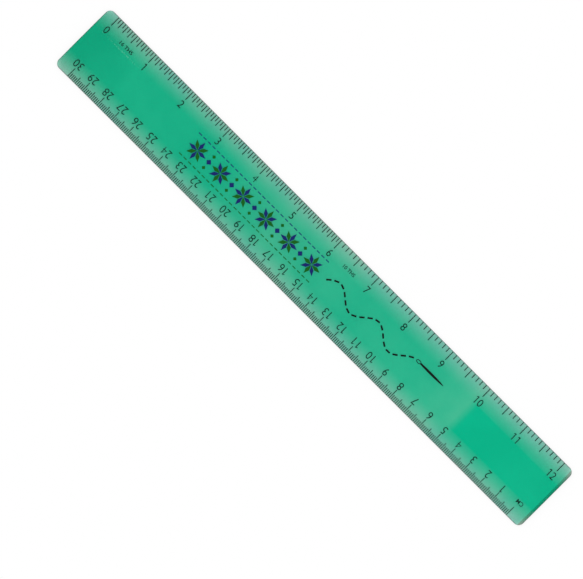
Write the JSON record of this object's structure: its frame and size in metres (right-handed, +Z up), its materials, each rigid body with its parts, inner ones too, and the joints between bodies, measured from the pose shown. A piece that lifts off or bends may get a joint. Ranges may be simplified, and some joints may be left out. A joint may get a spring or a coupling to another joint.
{
  "type": "flexible ruler",
  "caption": "Flat translucent green ruler that flexes lengthwise, thin at both sloped long edges, with an inch scale on one edge and a centimetre scale on the other.",
  "frame": {"origin": "centre of the underside, below the 6 inch mark", "axes": "+X along the ruler to its 12 inch end, +Y across to the inch edge, +Z up out of the reading face"},
  "size_m": [0.3174, 0.0382, 0.0016],
  "materials": {
    "strip": "glossy translucent green vinyl"
  },
  "bodies": {
    "strip_01": {"strip_01": "strip"},
    "strip_02": {"strip_02": "strip"},
    "strip_03": {"strip_03": "strip"},
    "strip_04": {"strip_04": "strip"},
    "strip_05": {"strip_05": "strip"},
    "strip_06": {"strip_06": "strip"},
    "strip_07": {"strip_07": "strip"},
    "strip_08": {"strip_08": "strip"},
    "strip_09": {"strip_09": "strip"},
    "strip_10": {"strip_10": "strip"},
    "strip_11": {"strip_11": "strip"},
    "strip_12": {"strip_12": "strip"},
    "strip_13": {"strip_13": "strip"},
    "strip_14": {"strip_14": "strip"},
    "strip_15": {"strip_15": "strip"},
    "strip_16": {"strip_16": "strip"},
    "strip_17": {"strip_17": "strip"},
    "strip_18": {"strip_18": "strip"},
    "strip_19": {"strip_19": "strip"},
    "strip_20": {"strip_20": "strip"},
    "strip_21": {"strip_21": "strip"},
    "strip_22": {"strip_22": "strip"},
    "strip_23": {"strip_23": "strip"},
    "strip_24": {"strip_24": "strip"},
    "strip_25": {"strip_25": "strip"},
    "strip_26": {"strip_26": "strip"},
    "strip_27": {"strip_27": "strip"},
    "strip_28": {"strip_28": "strip"},
    "strip_29": {"strip_29": "strip"},
    "strip_30": {"strip_30": "strip"},
    "strip_31": {"strip_31": "strip"},
    "strip_32": {"strip_32": "strip"},
    "strip_33": {"strip_33": "strip"}
  },
  "joints": [
    {"name": "bend_6_9in", "type": "hinge", "parent": "strip_17", "child": "strip_18", "pos_m": [0.0045, 0, 0.0008], "axis": [0, 1, 0], "range_deg": [-10, 10], "stiffness_Nm_per_rad": 0.1},
    {"name": "bend_6_9in_02", "type": "hinge", "parent": "strip_18", "child": "strip_19", "pos_m": [0.0145, 0, 0.0008], "axis": [0, 1, 0], "range_deg": [-10, 10], "stiffness_Nm_per_rad": 0.1},
    {"name": "bend_6_9in_03", "type": "hinge", "parent": "strip_19", "child": "strip_20", "pos_m": [0.0235, 0, 0.0008], "axis": [0, 1, 0], "range_deg": [-10, 10], "stiffness_Nm_per_rad": 0.1},
    {"name": "bend_6_9in_04", "type": "hinge", "parent": "strip_20", "child": "strip_21", "pos_m": [0.03351, 0, 0.0008], "axis": [0, 1, 0], "range_deg": [-10, 10], "stiffness_Nm_per_rad": 0.1},
    {"name": "bend_6_9in_05", "type": "hinge", "parent": "strip_21", "child": "strip_22", "pos_m": [0.0425, 0, 0.0008], "axis": [0, 1, 0], "range_deg": [-10, 10], "stiffness_Nm_per_rad": 0.1},
    {"name": "bend_6_9in_06", "type": "hinge", "parent": "strip_22", "child": "strip_23", "pos_m": [0.0525, 0, 0.0008], "axis": [0, 1, 0], "range_deg": [-10, 10], "stiffness_Nm_per_rad": 0.1},
    {"name": "bend_6_9in_07", "type": "hinge", "parent": "strip_23", "child": "strip_24", "pos_m": [0.0615, 0, 0.0008], "axis": [0, 1, 0], "range_deg": [-10, 10], "stiffness_Nm_per_rad": 0.1},
    {"name": "bend_6_9in_08", "type": "hinge", "parent": "strip_24", "child": "strip_25", "pos_m": [0.07156, 0, 0.0008], "axis": [0, 1, 0], "range_deg": [-10, 10], "stiffness_Nm_per_rad": 0.1},
    {"name": "bend_9_12in", "type": "hinge", "parent": "strip_25", "child": "strip_26", "pos_m": [0.0805, 0, 0.0008], "axis": [0, 1, 0], "range_deg": [-10, 10], "stiffness_Nm_per_rad": 0.1},
    {"name": "bend_9_12in_02", "type": "hinge", "parent": "strip_26", "child": "strip_27", "pos_m": [0.0905, 0, 0.0008], "axis": [0, 1, 0], "range_deg": [-10, 10], "stiffness_Nm_per_rad": 0.1},
    {"name": "bend_9_12in_03", "type": "hinge", "parent": "strip_27", "child": "strip_28", "pos_m": [0.09953, 0, 0.0008], "axis": [0, 1, 0], "range_deg": [-10, 10], "stiffness_Nm_per_rad": 0.1},
    {"name": "bend_9_12in_04", "type": "hinge", "parent": "strip_28", "child": "strip_29", "pos_m": [0.10961, 0, 0.0008], "axis": [0, 1, 0], "range_deg": [-10, 10], "stiffness_Nm_per_rad": 0.1},
    {"name": "bend_9_12in_05", "type": "hinge", "parent": "strip_29", "child": "strip_30", "pos_m": [0.1185, 0, 0.0008], "axis": [0, 1, 0], "range_deg": [-10, 10], "stiffness_Nm_per_rad": 0.1},
    {"name": "bend_9_12in_06", "type": "hinge", "parent": "strip_30", "child": "strip_31", "pos_m": [0.1285, 0, 0.0008], "axis": [0, 1, 0], "range_deg": [-10, 10], "stiffness_Nm_per_rad": 0.1},
    {"name": "bend_9_12in_07", "type": "hinge", "parent": "strip_31", "child": "strip_32", "pos_m": [0.1385, 0, 0.0008], "axis": [0, 1, 0], "range_deg": [-10, 10], "stiffness_Nm_per_rad": 0.1},
    {"name": "bend_9_12in_08", "type": "hinge", "parent": "strip_32", "child": "strip_33", "pos_m": [0.14766, 0, 0.0008], "axis": [0, 1, 0], "range_deg": [-10, 10], "stiffness_Nm_per_rad": 0.1},
    {"name": "bend_3_6in", "type": "hinge", "parent": "strip_17", "child": "strip_16", "pos_m": [-0.00438, 0, 0.0008], "axis": [0, -1, 0], "range_deg": [-10, 10], "stiffness_Nm_per_rad": 0.1},
    {"name": "bend_3_6in_02", "type": "hinge", "parent": "strip_16", "child": "strip_15", "pos_m": [-0.01464, 0, 0.0008], "axis": [0, -1, 0], "range_deg": [-10, 10], "stiffness_Nm_per_rad": 0.1},
    {"name": "bend_3_6in_03", "type": "hinge", "parent": "strip_15", "child": "strip_14", "pos_m": [-0.02341, 0, 0.0008], "axis": [0, -1, 0], "range_deg": [-10, 10], "stiffness_Nm_per_rad": 0.1},
    {"name": "bend_3_6in_04", "type": "hinge", "parent": "strip_14", "child": "strip_13", "pos_m": [-0.03367, 0, 0.0008], "axis": [0, -1, 0], "range_deg": [-10, 10], "stiffness_Nm_per_rad": 0.1},
    {"name": "bend_3_6in_05", "type": "hinge", "parent": "strip_13", "child": "strip_12", "pos_m": [-0.04243, 0, 0.0008], "axis": [0, -1, 0], "range_deg": [-10, 10], "stiffness_Nm_per_rad": 0.1},
    {"name": "bend_3_6in_06", "type": "hinge", "parent": "strip_12", "child": "strip_11", "pos_m": [-0.05269, 0, 0.0008], "axis": [0, -1, 0], "range_deg": [-10, 10], "stiffness_Nm_per_rad": 0.1},
    {"name": "bend_3_6in_07", "type": "hinge", "parent": "strip_11", "child": "strip_10", "pos_m": [-0.06146, 0, 0.0008], "axis": [0, -1, 0], "range_deg": [-10, 10], "stiffness_Nm_per_rad": 0.1},
    {"name": "bend_3_6in_08", "type": "hinge", "parent": "strip_10", "child": "strip_09", "pos_m": [-0.0705, 0, 0.0008], "axis": [0, -1, 0], "range_deg": [-10, 10], "stiffness_Nm_per_rad": 0.1},
    {"name": "bend_0_3in", "type": "hinge", "parent": "strip_09", "child": "strip_08", "pos_m": [-0.08048, 0, 0.0008], "axis": [0, -1, 0], "range_deg": [-10, 10], "stiffness_Nm_per_rad": 0.1},
    {"name": "bend_0_3in_02", "type": "hinge", "parent": "strip_08", "child": "strip_07", "pos_m": [-0.0895, 0, 0.0008], "axis": [0, -1, 0], "range_deg": [-10, 10], "stiffness_Nm_per_rad": 0.1},
    {"name": "bend_0_3in_03", "type": "hinge", "parent": "strip_07", "child": "strip_06", "pos_m": [-0.10051, 0, 0.0008], "axis": [0, -1, 0], "range_deg": [-10, 10], "stiffness_Nm_per_rad": 0.1},
    {"name": "bend_0_3in_04", "type": "hinge", "parent": "strip_06", "child": "strip_05", "pos_m": [-0.1105, 0, 0.0008], "axis": [0, -1, 0], "range_deg": [-10, 10], "stiffness_Nm_per_rad": 0.1},
    {"name": "bend_0_3in_05", "type": "hinge", "parent": "strip_05", "child": "strip_04", "pos_m": [-0.11953, 0, 0.0008], "axis": [0, -1, 0], "range_deg": [-10, 10], "stiffness_Nm_per_rad": 0.1},
    {"name": "bend_0_3in_06", "type": "hinge", "parent": "strip_04", "child": "strip_03", "pos_m": [-0.1295, 0, 0.0008], "axis": [0, -1, 0], "range_deg": [-10, 10], "stiffness_Nm_per_rad": 0.1},
    {"name": "bend_0_3in_07", "type": "hinge", "parent": "strip_03", "child": "strip_02", "pos_m": [-0.13856, 0, 0.0008], "axis": [0, -1, 0], "range_deg": [-10, 10], "stiffness_Nm_per_rad": 0.1},
    {"name": "bend_0_3in_08", "type": "hinge", "parent": "strip_02", "child": "strip_01", "pos_m": [-0.14732, 0, 0.0008], "axis": [0, -1, 0], "range_deg": [-10, 10], "stiffness_Nm_per_rad": 0.1}
  ],
  "couplings": [
    {"joint": "bend_6_9in_02", "follows": "bend_6_9in", "ratio": 1},
    {"joint": "bend_6_9in_03", "follows": "bend_6_9in", "ratio": 1},
    {"joint": "bend_6_9in_04", "follows": "bend_6_9in", "ratio": 1},
    {"joint": "bend_6_9in_05", "follows": "bend_6_9in", "ratio": 1},
    {"joint": "bend_6_9in_06", "follows": "bend_6_9in", "ratio": 1},
    {"joint": "bend_6_9in_07", "follows": "bend_6_9in", "ratio": 1},
    {"joint": "bend_6_9in_08", "follows": "bend_6_9in", "ratio": 1},
    {"joint": "bend_9_12in_02", "follows": "bend_9_12in", "ratio": 1},
    {"joint": "bend_9_12in_03", "follows": "bend_9_12in", "ratio": 1},
    {"joint": "bend_9_12in_04", "follows": "bend_9_12in", "ratio": 1},
    {"joint": "bend_9_12in_05", "follows": "bend_9_12in", "ratio": 1},
    {"joint": "bend_9_12in_06", "follows": "bend_9_12in", "ratio": 1},
    {"joint": "bend_9_12in_07", "follows": "bend_9_12in", "ratio": 1},
    {"joint": "bend_9_12in_08", "follows": "bend_9_12in", "ratio": 1},
    {"joint": "bend_3_6in_02", "follows": "bend_3_6in", "ratio": 1},
    {"joint": "bend_3_6in_03", "follows": "bend_3_6in", "ratio": 1},
    {"joint": "bend_3_6in_04", "follows": "bend_3_6in", "ratio": 1},
    {"joint": "bend_3_6in_05", "follows": "bend_3_6in", "ratio": 1},
    {"joint": "bend_3_6in_06", "follows": "bend_3_6in", "ratio": 1},
    {"joint": "bend_3_6in_07", "follows": "bend_3_6in", "ratio": 1},
    {"joint": "bend_3_6in_08", "follows": "bend_3_6in", "ratio": 1},
    {"joint": "bend_0_3in_02", "follows": "bend_0_3in", "ratio": 1},
    {"joint": "bend_0_3in_03", "follows": "bend_0_3in", "ratio": 1},
    {"joint": "bend_0_3in_04", "follows": "bend_0_3in", "ratio": 1},
    {"joint": "bend_0_3in_05", "follows": "bend_0_3in", "ratio": 1},
    {"joint": "bend_0_3in_06", "follows": "bend_0_3in", "ratio": 1},
    {"joint": "bend_0_3in_07", "follows": "bend_0_3in", "ratio": 1},
    {"joint": "bend_0_3in_08", "follows": "bend_0_3in", "ratio": 1}
  ]
}
